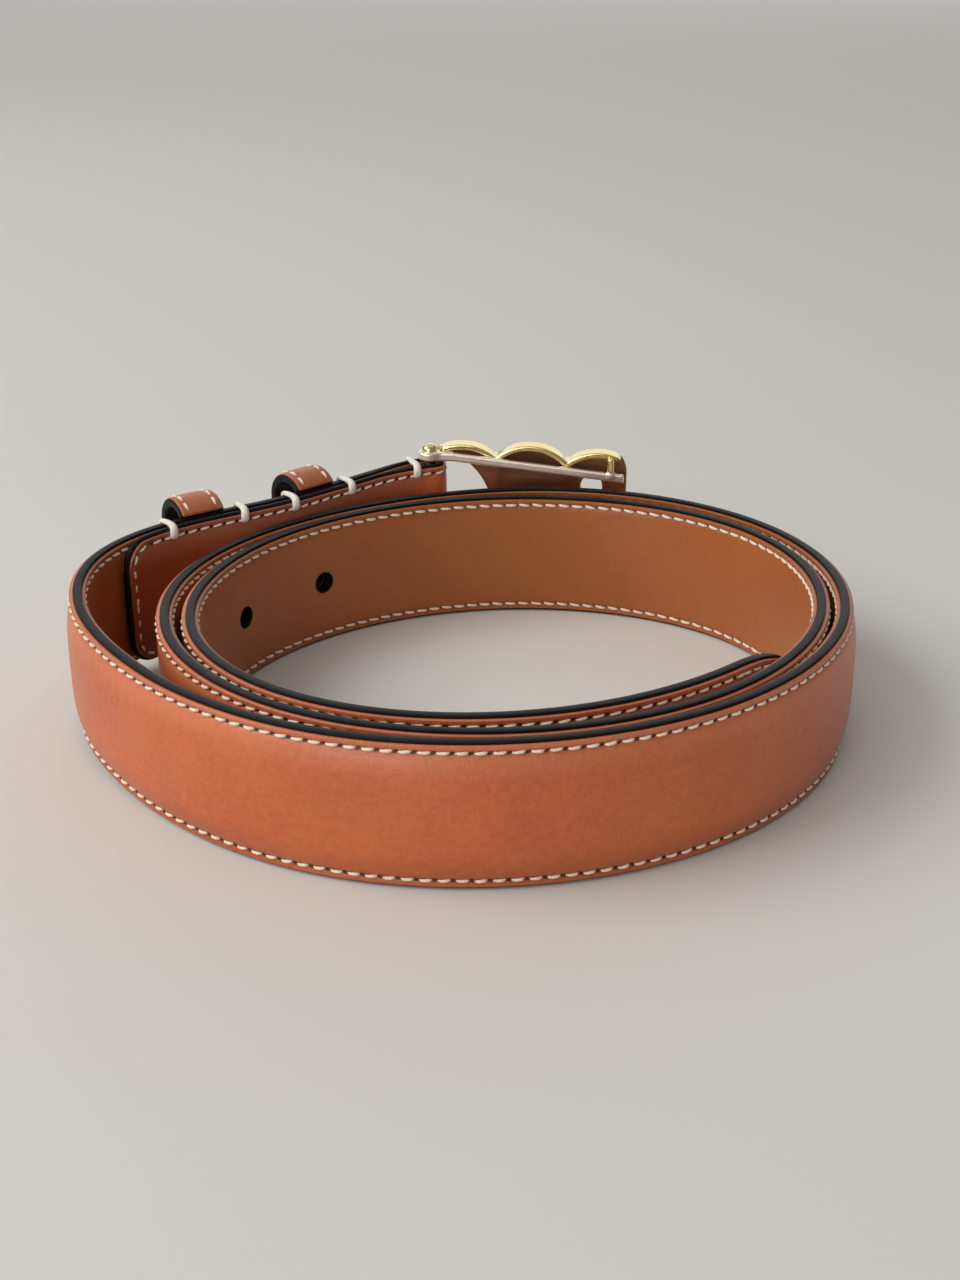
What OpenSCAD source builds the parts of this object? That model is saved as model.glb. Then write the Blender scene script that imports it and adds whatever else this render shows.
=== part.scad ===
// Dress belt rolled up and standing on its edge: a lined, stitched leather strap with two
// fixed keepers and a hinged plate buckle. Millimetres, +Z up, floor at z = 0, origin under
// the middle of the rolled belt.

/* [Strap] */
// Width of the strap, which is its height as it stands
strap_w = 30; // [28:0.5:32]
// Thickness of the face leather
face_t = 1.4; // [1.2:0.1:1.5]
// Thickness of the filler between face and lining
filler_t = 0.8; // [0.5:0.1:0.9]
// Thickness of the lining leather
lining_t = 1.2; // [1:0.1:1.3]
// Length of the rounded point at the tip
tip_len = 24; // [16:1:30]
// Distance from the strap's edge to the middle of a seam
seam_inset = 2; // [1.6:0.1:2.6]

/* [Holes] */
// Radius of a punched hole
hole_r = 2.4; // [2:0.1:2.8]
// Distance from hole to hole along the strap
hole_pitch = 28; // [24:1:30]
// Number of holes
hole_count = 5; // [3:1:6]

/* [Keepers] */
// Width of a keeper along the strap
keeper_w = 11; // [9:0.5:12]
// Thickness of a keeper's face leather
keeper_face_t = 1.2; // [1:0.1:1.3]
// Thickness of a keeper's lining
keeper_lining_t = 1; // [0.8:0.1:1.1]
// Radius of a keeper's rounded top and bottom, outside
keeper_r = 6.4; // [6:0.1:6.6]
// How far a keeper stands above and below the strap's edges
keeper_rise = 3.5; // [3:0.1:3.6]

/* [Buckle] */
// Height of the middle and first lobes above the buckle's centre line
lobe_h = 19.6; // [19:0.1:19.7]
// Radius of a lobe
lobe_r = 12.8; // [12:0.1:14]
// Distance from lobe to lobe
lobe_pitch = 17.1; // [16.5:0.1:17.5]
// Thickness of the buckle's sheet metal
shell_t = 1.4; // [1.1:0.1:1.5]
// Depth of the buckle's rim
rim_d = 5.4; // [4.5:0.1:5.6]
// Radius of the heel pin that the strap folds round
pin_r = 1.5; // [1.3:0.1:1.6]
// Radius of the peg that enters a hole
peg_r = 2.1; // [1.8:0.1:2.1]

/* [Hidden] */

tan_leather = [0.70, 0.33, 0.17];
lining_leather = [0.55, 0.30, 0.14];
edge_black = [0.12, 0.11, 0.12];
cream_thread = [0.93, 0.86, 0.76];
gold = [0.86, 0.72, 0.42];

strap_t = face_t + filler_t + lining_t;
ply_t = face_t + lining_t;
half_w = strap_w / 2;

// The rolled strap. Control radii of its outer face, one every tenth of a turn, are joined by
// a cubic B-spline; the turn grows from the buckle, behind, round the left, front and right.
roll_r = [80, 81, 77, 57, 90, 75.5, 75, 74.5, 78.5, 83.5,
          84, 72.5, 59.5, 57, 62.5, 66.5, 69.5, 71, 74.5, 78.5,
          79, 64.5, 55.5, 53, 56, 62, 64.5, 64.5, 66.8, 76, 76];
roll_start = 64;
roll_step = 36;
roll_centre = [-0.15, -0.66];
// Angles of the heel pin, of the strap's tip and of the end of the turned-back ply
pin_a = 97.5;
tip_a = 1062;
turn_end_a = 168.5;
facet_a = 6;

// Smooth step from 0 to 1
function smooth(x) = let (t = max(0, min(1, x))) t * t * (3 - 2 * t);
function unit(v) = v / norm(v);

// Radius of the outer face at angle a, by the spline's four weights
function face_r(a) =
    let (k = (a - roll_start) / roll_step, i = floor(k), t = k - i)
    (pow(1 - t, 3) * roll_r[i]
     + (3 * pow(t, 3) - 6 * t * t + 4) * roll_r[i + 1]
     + (-3 * pow(t, 3) + 3 * t * t + 3 * t + 1) * roll_r[i + 2]
     + pow(t, 3) * roll_r[i + 3]) / 6;
function face_pt(a) = roll_centre + face_r(a) * [cos(a), sin(a)];
// Direction along the strap towards the tip, and the outward normal
function along(a) = unit(face_pt(a + 0.5) - face_pt(a - 0.5));
function outward(a) = [along(a).y, -along(a).x];
// Millimetres of strap for each degree
function mm_per_deg(a) = norm(face_pt(a + 0.5) - face_pt(a - 0.5));
// Inner surface of the single strap, where its turned-back end lies against it
function ply_pt(a) = face_pt(a) - strap_t * outward(a);

// The buckle and the keepers are taller than the strap and rest on the floor, so they hold
// the strap's buckle end up; past the keepers it comes down to the floor.
far_keeper_a = 124.2;
near_keeper_a = 149.7;
buckle_lift = 4.7;
keeper_lift = keeper_rise + 0.15;
lift_from_a = 156;
lift_to_a = 225;
// From here to the pin the strap climbs from the keepers' lift to the buckle's
climb_a = 117.2;
function lift(a) =
    keeper_lift * smooth((lift_to_a - a) / (lift_to_a - lift_from_a))
    + (buckle_lift - keeper_lift) * smooth((climb_a - a) / (climb_a - pin_a));

// Running fit of the strap's fold on the heel pin
pin_gap = 0.05;
fold_r = pin_r + pin_gap;
// The two plies part to pass round the pin, and close again within this angle
fold_close_a = 14;
// The filler starts this far past the pin and reaches full thickness over the next stretch
filler_from_a = 2;
filler_full_a = 12;
function parting(a) = fold_r * (1 - smooth((a - pin_a) / fold_close_a));
function filler_at(a) = filler_t * smooth((a - pin_a - filler_from_a) / filler_full_a);

// A station is [point on the lining's surface, normal towards the face, lift, half width,
// filler thickness]
turn_corner_r = 7;
function tip_half_w(a) =
    let (d = (tip_a - a) * mm_per_deg(a))
    d >= tip_len ? half_w : half_w * sqrt(1 - pow(1 - d / tip_len, 2));
function turn_half_w(a) =
    let (d = (turn_end_a - a) * mm_per_deg(a))
    d >= turn_corner_r ? half_w
                       : half_w - turn_corner_r + sqrt(pow(turn_corner_r, 2) - pow(turn_corner_r - d, 2));
function main_station(a) =
    [ply_pt(a) + parting(a) * outward(a), outward(a), lift(a), tip_half_w(a), filler_at(a)];
function turn_station(a) =
    [ply_pt(a) - parting(a) * outward(a), -outward(a), lift(a), turn_half_w(a), 0];
function fold_station(b) =
    let (n = cos(b) * outward(pin_a) - sin(b) * along(pin_a))
    [ply_pt(pin_a) + fold_r * n, n, lift(pin_a), half_w, 0];

// Angles of the stations: even steps, then closer ones round the tip and the turned-back end
tip_span_a = tip_len / mm_per_deg(tip_a);
tip_angles = [for (i = [1:9]) tip_a - tip_span_a * (1 - sin(i * 9.8))];
turn_span_a = turn_corner_r / mm_per_deg(turn_end_a);
turn_angles = [for (i = [5:-1:1]) turn_end_a - turn_span_a * (1 - sin(i * 17))];
fold_open_a = [0, 2, 4, 7, 10];
main_angles = concat([for (d = fold_open_a) pin_a + d],
                     [for (a = [pin_a + fold_close_a:facet_a:tip_a - tip_span_a - 1]) a],
                     tip_angles);
turn_back_angles = concat(turn_angles,
                          [for (a = [turn_end_a - turn_span_a - 1:-facet_a:pin_a + fold_close_a - 1]) a],
                          [for (i = [4:-1:0]) pin_a + fold_open_a[i]]);
fold_step = 15;
main_stations = [for (a = main_angles) main_station(a)];
turn_stations = [for (a = turn_back_angles) turn_station(a)];
fold_stations = [for (b = [180 - fold_step:-fold_step:fold_step]) fold_station(b)];
sheet_stations = concat(turn_stations, fold_stations, main_stations);
filler_stations = [for (a = main_angles) if (a >= pin_a + 4) main_station(a)];

function corner(s, off, z) = [s[0].x + off * s[1].x, s[0].y + off * s[1].y, z];

// A ribbon through a list of rings of four corners: inner low, outer low, outer high, inner high.
// Neighbouring layers share their facets, so they meet without a gap.
module ribbon(rings) {
    last = 4 * (len(rings) - 1);
    polyhedron(
        points = [for (ring = rings) each ring],
        faces = concat(
            [[0, 3, 2, 1], [last, last + 1, last + 2, last + 3]],
            [for (i = [0:len(rings) - 2], j = [0:2])
                let (a = 4 * i + j, b = a + 4) each [[a, a + 1, b + 1], [a, b + 1, b]]],
            [for (i = [0:len(rings) - 2])
                let (a = 4 * i, b = a + 4) each [[a + 3, a, b + 3], [a, b, b + 3]]]),
        convexity = 10);
}

// One layer of the strap between two offsets from the lining's surface; each offset is a
// fixed part plus a share of the filler's thickness
module layer(stations, low, low_fill, high, high_fill) {
    ribbon([for (s = stations)
        let (o0 = low + low_fill * s[4], o1 = high + high_fill * s[4],
             z0 = half_w + s[2] - s[3], z1 = half_w + s[2] + s[3])
        [corner(s, o0, z0), corner(s, o1, z0), corner(s, o1, z1), corner(s, o0, z1)]]);
}

// Holes, one pitch apart, from the one nearest the buckle towards the tip
first_hole_a = 851;
function hole_a(i) = i == 0 ? first_hole_a : hole_a(i - 1) + hole_pitch / mm_per_deg(hole_a(i - 1));

// Place in the strap's own frame: x towards the buckle, y outward, z up, on the inner surface
// of the single strap at mid width
module on_strap(a) {
    slope = atan2(lift(a - 1) - lift(a + 1), 2 * mm_per_deg(a));
    translate([ply_pt(a).x, ply_pt(a).y, half_w + lift(a)])
        rotate([0, 0, atan2(-along(a).y, -along(a).x)])
            rotate([0, -slope, 0])
                children();
}

module holes() {
    for (i = [0:hole_count - 1])
        on_strap(hole_a(i)) rotate([90, 0, 0]) cylinder(r = hole_r, h = 4 * strap_t, center = true, $fn = 48);
}

module strap_face() {
    color(tan_leather) difference() {
        layer(sheet_stations, lining_t, 1, ply_t, 1);
        holes();
    }
}

module strap_filler() {
    color(edge_black) difference() {
        layer(filler_stations, lining_t, 0, lining_t, 1);
        holes();
    }
}

module strap_lining() {
    color(lining_leather) difference() {
        layer(sheet_stations, 0, 0, lining_t, 0);
        holes();
    }
}

// Seam threads: a fine bead laid in the leather along each edge, on the face and on the
// lining; side is 1 for the upper seam and -1 for the lower one
bead_w = 0.6;
bead_proud = 0.12;
bead_deep = 0.3;
module seam_bead(stations, side, low, high, fill) {
    ribbon([for (s = stations)
        let (zc = half_w + s[2] + side * (s[3] - seam_inset),
             o0 = low + fill * s[4], o1 = high + fill * s[4],
             z0 = zc - bead_w / 2, z1 = zc + bead_w / 2)
        [corner(s, o0, z0), corner(s, o1, z0), corner(s, o1, z1), corner(s, o0, z1)]]);
}
face_seam_stations = [for (s = sheet_stations) if (s[3] > seam_inset + 2) s];
lining_seam_stations = [for (a = main_angles) if (a > turn_end_a + 3 && tip_half_w(a) > seam_inset + 2)
                            main_station(a)];
module seam_thread(side) {
    color(cream_thread) {
        seam_bead(face_seam_stations, side, ply_t - bead_deep, ply_t + bead_proud, 1);
        seam_bead(lining_seam_stations, side, -bead_proud, bead_deep, 0);
    }
}
module upper_seam_thread() { seam_thread(1); }
module lower_seam_thread() { seam_thread(-1); }

// Keepers: a band bent into a D round the strap's outer side, its feet tucked between the plies
keeper_half_h = half_w + keeper_rise;
// The band's rounded ends reach this far past the strap's inner surface
keeper_reach = 0.3;
keeper_axis = keeper_r - keeper_reach;
keeper_foot_gap = 0.3;
tuck_t = 0.8;
tuck_depth = 5;

module stadium(r) {
    for (s = [-1, 1]) translate([keeper_axis, s * (keeper_half_h - keeper_r)]) circle(r, $fn = 64);
    translate([keeper_axis - r, keeper_r - keeper_half_h]) square([2 * r, 2 * (keeper_half_h - keeper_r)]);
}
// The band between two radii, without the stretch that would lie inside the strap
module band_profile(r_out, r_in) {
    difference() {
        stadium(r_out);
        stadium(r_in);
        translate([-1, -half_w - keeper_foot_gap])
            square([keeper_axis + 1, strap_w + 2 * keeper_foot_gap]);
    }
}
module keeper_extrude(w) {
    rotate([90, 0, 90]) translate([0, 0, -w / 2]) linear_extrude(w) children();
}
module keeper_leather(a) {
    color(tan_leather) on_strap(a) keeper_extrude(keeper_w)
        band_profile(keeper_r, keeper_r - keeper_face_t);
}
module keeper_lining(a) {
    foot_z = half_w + keeper_foot_gap;
    foot_out = keeper_axis - sqrt(pow(keeper_r - keeper_face_t, 2)
                                  - pow(foot_z + 0.6 - keeper_half_h + keeper_r, 2));
    color(edge_black) on_strap(a) keeper_extrude(keeper_w) {
        band_profile(keeper_r - keeper_face_t, keeper_r - keeper_face_t - keeper_lining_t);
        for (s = [0, 1]) mirror([0, s]) {
            translate([-tuck_t / 2, foot_z - 0.1]) square([foot_out + 0.9, 0.6]);
            translate([-tuck_t / 2, half_w - tuck_depth]) square([tuck_t, tuck_depth + 0.5]);
        }
    }
}
module keeper_thread(a) {
    row_x = keeper_w / 2 - 1.9;
    color(cream_thread) on_strap(a) for (s = [-1, 1]) translate([s * row_x, 0, 0])
        keeper_extrude(bead_w) band_profile(keeper_r + bead_proud, keeper_r - bead_deep);
}
module near_keeper_leather() { keeper_leather(near_keeper_a); }
module near_keeper_lining() { keeper_lining(near_keeper_a); }
module near_keeper_thread() { keeper_thread(near_keeper_a); }
module far_keeper_leather() { keeper_leather(far_keeper_a); }
module far_keeper_lining() { keeper_lining(far_keeper_a); }
module far_keeper_thread() { keeper_thread(far_keeper_a); }

// Hand tacks: thick thread over the strap's edge beside each keeper and close to the fold
tack_t = 0.8;
tack_w = 1.3;
tack_leg = 3.2;
tack_step_a = (keeper_w / 2 + 3) / mm_per_deg(far_keeper_a);
tack_angles = [pin_a + 3.3, far_keeper_a - tack_step_a, far_keeper_a + tack_step_a,
               near_keeper_a - tack_step_a, near_keeper_a + tack_step_a];
module hand_tack(a) {
    outer = parting(a) + ply_t + filler_at(a);
    inner = -parting(a) - ply_t;
    color(cream_thread) on_strap(a) keeper_extrude(tack_w) difference() {
        translate([inner - tack_t, half_w - tack_leg])
            square([outer - inner + 2 * tack_t, tack_leg + tack_t]);
        translate([inner, half_w - tack_leg - 1]) square([outer - inner, tack_leg + 1]);
    }
}
module upper_hand_tacks() { for (a = tack_angles) hand_tack(a); }
module lower_hand_tacks() {
    for (a = tack_angles)
        translate([0, 0, 2 * (half_w + lift(a))]) mirror([0, 0, 1]) hand_tack(a);
}

// Buckle, in its own frame: origin on the heel pin at mid height, x towards the free end,
// y outward, z up
buckle_dir = -5;
front_y = 5;
rim_back_y = front_y - rim_d;
rail_t = 1.5;
rail_gap = 0.05;
rail_low = half_w + 0.5;
rail_high = rail_low + 2.1;
// A rail slopes from its knee towards the middle, and a post near its end joins it to the rim
rail_knee_x = 6;
rail_drop = 4.5;
post_x = 44.6;
post_w = 1.6;
post_top = 17.2;
first_lobe_x = 8;
left_x = -1.5;
right_x = 49.5;
end_r = 7;
last_lobe_drop = 1.4;
// The window by the hinge, bounded by the strap's fold and by a shallow arc
window_r = 18;
window_x = 15.5;
window_half_h = half_w + 1.3;
slot_x = 38;
slot_w = 5.2;
slot_half_h = 11;
peg_x = 27;
peg_head_r = 3;
peg_head_t = 1.2;
spigot_r = 1.3;
eye_r = 3;
circle_gap = 0.03;

module in_buckle() {
    p = ply_pt(pin_a);
    translate([p.x, p.y, half_w + lift(pin_a)]) rotate([0, 0, buckle_dir]) children();
}
// A plate of the given outline, from y_back to y_front
module plate(y_back, y_front) {
    translate([0, y_front, 0]) rotate([90, 0, 0]) linear_extrude(y_front - y_back) children();
}
module lobe(i, inset) {
    peak = lobe_h - (i == 2 ? last_lobe_drop : 0);
    translate([first_lobe_x + i * lobe_pitch, 0]) {
        for (s = [-1, 1]) translate([0, s * (peak - lobe_r)]) circle(lobe_r - inset, $fn = 96);
        translate([inset - lobe_r, lobe_r - peak])
            square([2 * (lobe_r - inset), 2 * (peak - lobe_r)]);
    }
}
// Outline of the buckle: three lobes above and below, with rounded ends
module outline(inset) {
    intersection() {
        for (i = [0:2]) lobe(i, inset);
        union() {
            translate([left_x + end_r, inset - lobe_h])
                square([right_x - left_x - 2 * end_r, 2 * (lobe_h - inset)]);
            translate([left_x + inset, end_r - lobe_h + 1])
                square([right_x - left_x - 2 * inset, 2 * (lobe_h - end_r - 1)]);
            for (x = [left_x + end_r, right_x - end_r], s = [-1, 1])
                translate([x, s * (lobe_h - end_r - 1)]) circle(end_r - inset, $fn = 64);
        }
    }
}
module window() {
    intersection() {
        translate([window_x - window_r, 0]) circle(window_r, $fn = 128);
        translate([-10, -window_half_h]) square([40, 2 * window_half_h]);
    }
}
module slot() {
    for (s = [-1, 1]) translate([slot_x + slot_w / 2, s * (slot_half_h - slot_w / 2)])
        circle(slot_w / 2, $fn = 48);
    translate([slot_x, slot_w / 2 - slot_half_h]) square([slot_w, 2 * slot_half_h - slot_w]);
}

module buckle_shell() {
    color(gold) in_buckle() difference() {
        plate(rim_back_y, front_y) outline(0);
        plate(rim_back_y - 1, front_y - shell_t) outline(shell_t);
        plate(rim_back_y - 1, front_y + 1) window();
        plate(rim_back_y - 1, front_y + 1) slot();
        // The free end's rim is open between the rails, where the strap's tail comes in
        translate([right_x - 5, rim_back_y - 1, -window_half_h])
            cube([10, rim_d - shell_t + 1, 2 * window_half_h]);
        cylinder(r = eye_r + 0.1, h = 60, center = true, $fn = 64);
        translate([peg_x, 0, 0]) rotate([-90, 0, 0]) cylinder(r = spigot_r + circle_gap, h = 10, $fn = 48);
    }
}

// Two rails across the back, each from an eye for the heel pin to the free end
rail_end_x = right_x - 0.8;
module rail() {
    slope = rail_drop / (rail_end_x - rail_knee_x);
    foot = rail_high - slope * (post_x - rail_knee_x);
    difference() {
        union() {
            translate([0, 0, rail_low]) cylinder(r = eye_r, h = rail_high - rail_low, $fn = 64);
            plate(rim_back_y - rail_gap - rail_t, rim_back_y - rail_gap)
                polygon([[0, rail_low], [rail_knee_x, rail_low], [rail_end_x, rail_low - rail_drop],
                         [rail_end_x, rail_high - rail_drop], [post_x + post_w, foot - slope * post_w],
                         [post_x + post_w, post_top], [post_x, post_top], [post_x, foot],
                         [rail_knee_x, rail_high], [0, rail_high]]);
        }
        cylinder(r = pin_r + circle_gap, h = 60, center = true, $fn = 48);
    }
}
module buckle_rails() {
    color(gold) in_buckle() for (s = [0, 1]) mirror([0, 0, s]) rail();
}

module heel_pin() {
    color(gold) in_buckle() cylinder(r = pin_r, h = 2 * rail_high, center = true, $fn = 48);
}

// Domed cap on each end of the heel pin
cap_r = 2;
module pin_cap() {
    translate([0, 0, rail_high]) intersection() {
        cylinder(r = cap_r, h = cap_r, $fn = 48);
        sphere(cap_r, $fn = 48);
    }
}
module upper_pin_cap() { color(gold) in_buckle() pin_cap(); }
module lower_pin_cap() { color(gold) in_buckle() mirror([0, 0, 1]) pin_cap(); }

// Peg on the back of the plate: spigot through the plate, shank and flat head
module hook_peg() {
    back = front_y - shell_t;
    color(gold) in_buckle() translate([peg_x, 0, 0]) rotate([-90, 0, 0]) {
        translate([0, 0, back - 0.2]) cylinder(r = spigot_r, h = shell_t + 0.2, $fn = 48);
        translate([0, 0, rim_back_y]) cylinder(r = peg_r, h = back - rim_back_y, $fn = 48);
        translate([0, 0, rim_back_y - peg_head_t]) cylinder(r = peg_head_r, h = peg_head_t, $fn = 48);
    }
}

strap_face();
strap_filler();
strap_lining();
upper_seam_thread();
lower_seam_thread();
near_keeper_leather();
near_keeper_lining();
near_keeper_thread();
far_keeper_leather();
far_keeper_lining();
far_keeper_thread();
upper_hand_tacks();
lower_hand_tacks();
buckle_shell();
buckle_rails();
heel_pin();
upper_pin_cap();
lower_pin_cap();
hook_peg();
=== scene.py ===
import math

import bpy
import numpy as np
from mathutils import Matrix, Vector


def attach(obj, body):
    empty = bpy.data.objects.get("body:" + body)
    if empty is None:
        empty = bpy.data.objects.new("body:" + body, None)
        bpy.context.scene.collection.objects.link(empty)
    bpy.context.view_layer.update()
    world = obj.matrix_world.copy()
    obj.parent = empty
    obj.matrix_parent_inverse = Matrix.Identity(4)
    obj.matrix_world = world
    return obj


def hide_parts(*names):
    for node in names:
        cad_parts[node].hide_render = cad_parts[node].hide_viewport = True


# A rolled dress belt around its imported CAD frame: crowned leather with rounded painted edges,
# separate lockstitches, hand tacks and a polished hollow buckle. Sizes are in millimetres and
# become metres when a mesh is made.
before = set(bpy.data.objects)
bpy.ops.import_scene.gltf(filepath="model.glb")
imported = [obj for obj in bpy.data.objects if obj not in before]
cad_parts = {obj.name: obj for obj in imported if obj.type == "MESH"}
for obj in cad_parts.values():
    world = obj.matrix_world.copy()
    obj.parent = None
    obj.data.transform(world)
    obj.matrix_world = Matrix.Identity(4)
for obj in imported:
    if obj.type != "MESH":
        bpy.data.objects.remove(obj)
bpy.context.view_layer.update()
MM = 0.001
rng = np.random.default_rng(7)

# ---------------------------------------------------------------- sizes shared with the CAD part
STRAP_W, FACE_T, FILLER_T, LINING_T = 30.0, 1.4, 0.8, 1.2
STRAP_T, PLY_T, HALF_W = FACE_T + FILLER_T + LINING_T, FACE_T + LINING_T, STRAP_W / 2
TIP_LEN, SEAM_INSET, TURN_CORNER_R = 24.0, 2.0, 7.0
HOLE_R, HOLE_PITCH, HOLE_COUNT, FIRST_HOLE_A = 2.4, 28.0, 5, 851.0
ROLL_R = np.array([80, 81, 77, 57, 90, 75.5, 75, 74.5, 78.5, 83.5,
                   84, 72.5, 59.5, 57, 62.5, 66.5, 69.5, 71, 74.5, 78.5,
                   79, 64.5, 55.5, 53, 56, 62, 64.5, 64.5, 66.8, 76, 76])
ROLL_START, ROLL_STEP, ROLL_CENTRE = 64.0, 36.0, np.array([-0.15, -0.66])
PIN_A, TIP_A, TURN_END_A = 97.5, 1062.0, 168.5
FILLER_FROM_A, FILLER_FULL_A = 2, 12
BUCKLE_LIFT, KEEPER_LIFT, LIFT_FROM_A, LIFT_TO_A, CLIMB_A = 4.7, 3.65, 156.0, 225.0, 117.2
FOLD_R, FOLD_CLOSE_A = 1.55, 14.0
KEEPER_W, KEEPER_FACE_T, KEEPER_LINING_T, KEEPER_R, KEEPER_RISE = 11.0, 1.2, 1.0, 6.4, 3.5
KEEPER_REACH = 0.3
KEEPER_AXIS, KEEPER_HALF_H = KEEPER_R - KEEPER_REACH, HALF_W + KEEPER_RISE
NEAR_KEEPER_A, FAR_KEEPER_A = 149.7, 124.2
BUCKLE_DIR, FRONT_Y, RIM_D, SHELL_T = -5.0, 5.0, 5.4, 1.4
LOBE_H, LOBE_R, LOBE_PITCH, FIRST_LOBE_X, LAST_LOBE_DROP = 19.6, 12.8, 17.1, 8.0, 1.4
LEFT_X, RIGHT_X, END_R = -1.5, 49.5, 8.0
WINDOW_R, WINDOW_X, WINDOW_HALF_H = 18.0, 15.5, HALF_W + 1.3
SLOT_X, SLOT_W, SLOT_HALF_H = 38.0, 5.2, 11.0
RAIL_T, RAIL_LOW, RAIL_HIGH, RAIL_GAP = 1.5, HALF_W + 0.5, HALF_W + 2.6, 0.05
RAIL_KNEE_X, RAIL_END_X, RAIL_DROP = 6.0, RIGHT_X - 0.8, 4.5
POST_X, POST_W, POST_TOP = 44.6, 1.6, 17.2
PIN_R, EYE_R, PEG_X, PEG_R, PEG_HEAD_R, PEG_HEAD_T = 1.5, 3.0, 27.0, 2.1, 3.0, 1.2


# ---------------------------------------------------------------- the rolled strap
def smooth(x):
    t = np.clip(x, 0, 1)
    return t * t * (3 - 2 * t)


def face_pt(a):
    """Outer face of the strap at angle a in degrees, by the cubic B-spline of the radii."""
    a = np.asarray(a, float)
    k = (a - ROLL_START) / ROLL_STEP
    i = np.clip(np.floor(k).astype(int), 0, len(ROLL_R) - 4)
    t = k - i
    w = [(1 - t) ** 3, 3 * t**3 - 6 * t**2 + 4, -3 * t**3 + 3 * t**2 + 3 * t + 1, t**3]
    r = sum(w[j] * ROLL_R[i + j] for j in range(4)) / 6
    ang = np.radians(a)
    return ROLL_CENTRE + r[..., None] * np.stack([np.cos(ang), np.sin(ang)], -1)


def along(a):
    d = face_pt(np.asarray(a) + 0.5) - face_pt(np.asarray(a) - 0.5)
    return d / np.linalg.norm(d, axis=-1, keepdims=True)


def outward(a):
    t = along(a)
    return np.stack([t[..., 1], -t[..., 0]], -1)


def mm_per_deg(a):
    return np.linalg.norm(face_pt(np.asarray(a) + 0.5) - face_pt(np.asarray(a) - 0.5), axis=-1)


def ply_pt(a):
    return face_pt(a) - STRAP_T * outward(a)


def lift(a):
    """Height of the strap's lower edge: up at the keepers, higher still at the buckle."""
    a = np.asarray(a, float)
    return (KEEPER_LIFT * smooth((LIFT_TO_A - a) / (LIFT_TO_A - LIFT_FROM_A))
            + (BUCKLE_LIFT - KEEPER_LIFT) * smooth((CLIMB_A - a) / (CLIMB_A - PIN_A)))


def parting(a):
    """Half the gap between the plies, which part round the pin."""
    return FOLD_R * (1 - smooth((np.asarray(a) - PIN_A) / FOLD_CLOSE_A))


def filler_at(a):
    return FILLER_T * smooth((np.asarray(a) - PIN_A - FILLER_FROM_A) / FILLER_FULL_A)


class Sheet:
    """The whole strip of leather, flat: s runs from the turned-back end, round the pin's fold,
    to the tip. It gives the point, normal, mid height and filler thickness at any s."""

    def __init__(self):
        step = 0.45
        turn_a = np.arange(TURN_END_A, PIN_A, -step)
        fold_b = np.radians(np.arange(180, -1, -6.0))
        main_a = np.append(np.arange(PIN_A + step, TIP_A, step), TIP_A)
        n_pin, t_pin = outward(PIN_A), along(PIN_A)
        fold_n = np.cos(fold_b)[:, None] * n_pin - np.sin(fold_b)[:, None] * t_pin
        base = np.vstack([ply_pt(turn_a) - parting(turn_a)[:, None] * outward(turn_a),
                          ply_pt(PIN_A) + FOLD_R * fold_n,
                          ply_pt(main_a) + parting(main_a)[:, None] * outward(main_a)])
        normal = np.vstack([-outward(turn_a), fold_n, outward(main_a)])
        zc = HALF_W + np.concatenate([lift(turn_a), np.full(len(fold_b), lift(PIN_A)),
                                      lift(main_a)])
        fill = np.concatenate([np.zeros(len(turn_a) + len(fold_b)), filler_at(main_a)])
        mid = base + normal * (PLY_T + fill)[:, None] / 2
        self.s = np.concatenate([[0], np.cumsum(np.linalg.norm(np.diff(mid, axis=0), axis=1))])
        self.columns = np.column_stack([base, normal, zc, fill])
        self.length = self.s[-1]
        self.fold_s = self.s[len(turn_a) + len(fold_b) // 2]
        self.main_a, self.main_s = main_a, self.s[-len(main_a):]

    def at(self, s):
        got = np.stack([np.interp(s, self.s, c) for c in self.columns.T], -1)
        n = got[..., 2:4] / np.linalg.norm(got[..., 2:4], axis=-1, keepdims=True)
        return got[..., 0:2], n, got[..., 4], got[..., 5]

    def s_of(self, a):
        return np.interp(a, self.main_a, self.main_s)

    def half_width(self, s, inset=0.0):
        """Half the strap's width at s, for its outline moved in by inset."""
        s = np.asarray(s, float)
        d = s - inset
        r = TURN_CORNER_R - inset
        turn = HALF_W - TURN_CORNER_R
        turn = turn + np.sqrt(np.clip(r**2 - np.clip(r - d, 0, None) ** 2, 0, None))
        e = (s - (self.length - TIP_LEN)) / (TIP_LEN - inset)
        tip = (HALF_W - inset) * np.sqrt(np.clip(1 - np.clip(e, 0, None) ** 2, 0, 1))
        return np.where((d < 0) | (e > 1), 0.0, np.minimum(turn, tip))

    def points(self, s, v, off):
        """3-D points at s, v across from mid height, off out from the lining's surface."""
        base, n, zc, _ = self.at(s)
        xy = base + n * np.asarray(off)[..., None]
        return np.concatenate([xy, (zc + v)[..., None]], -1)


sheet = Sheet()


# ---------------------------------------------------------------- mesh helpers
def new_mesh(name, verts, faces, body, mats, stands_for=(), uv=None, seam=None):
    """A piece from vertices in millimetres. uv and seam are one pair per vertex."""
    me = bpy.data.meshes.new(name)
    faces = faces if isinstance(faces, list) else faces.tolist()
    me.from_pydata((np.asarray(verts) * MM).tolist(), [], faces)
    me.validate()
    for layer, values in (("Cut", uv), ("Seam", seam)):
        if values is not None:
            data = me.uv_layers.new(name=layer).data
            loop_v = np.zeros(len(me.loops), int)
            me.loops.foreach_get("vertex_index", loop_v)
            data.foreach_set("uv", np.asarray(values, np.float32)[loop_v].ravel())
    me.polygons.foreach_set("use_smooth", [True] * len(me.polygons))
    for mat in mats:
        me.materials.append(mat)
    me.update()
    o = bpy.data.objects.new(name, me)
    bpy.context.scene.collection.objects.link(o)
    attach(o, body)
    if stands_for:
        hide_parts(*stands_for)
    return o


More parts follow.
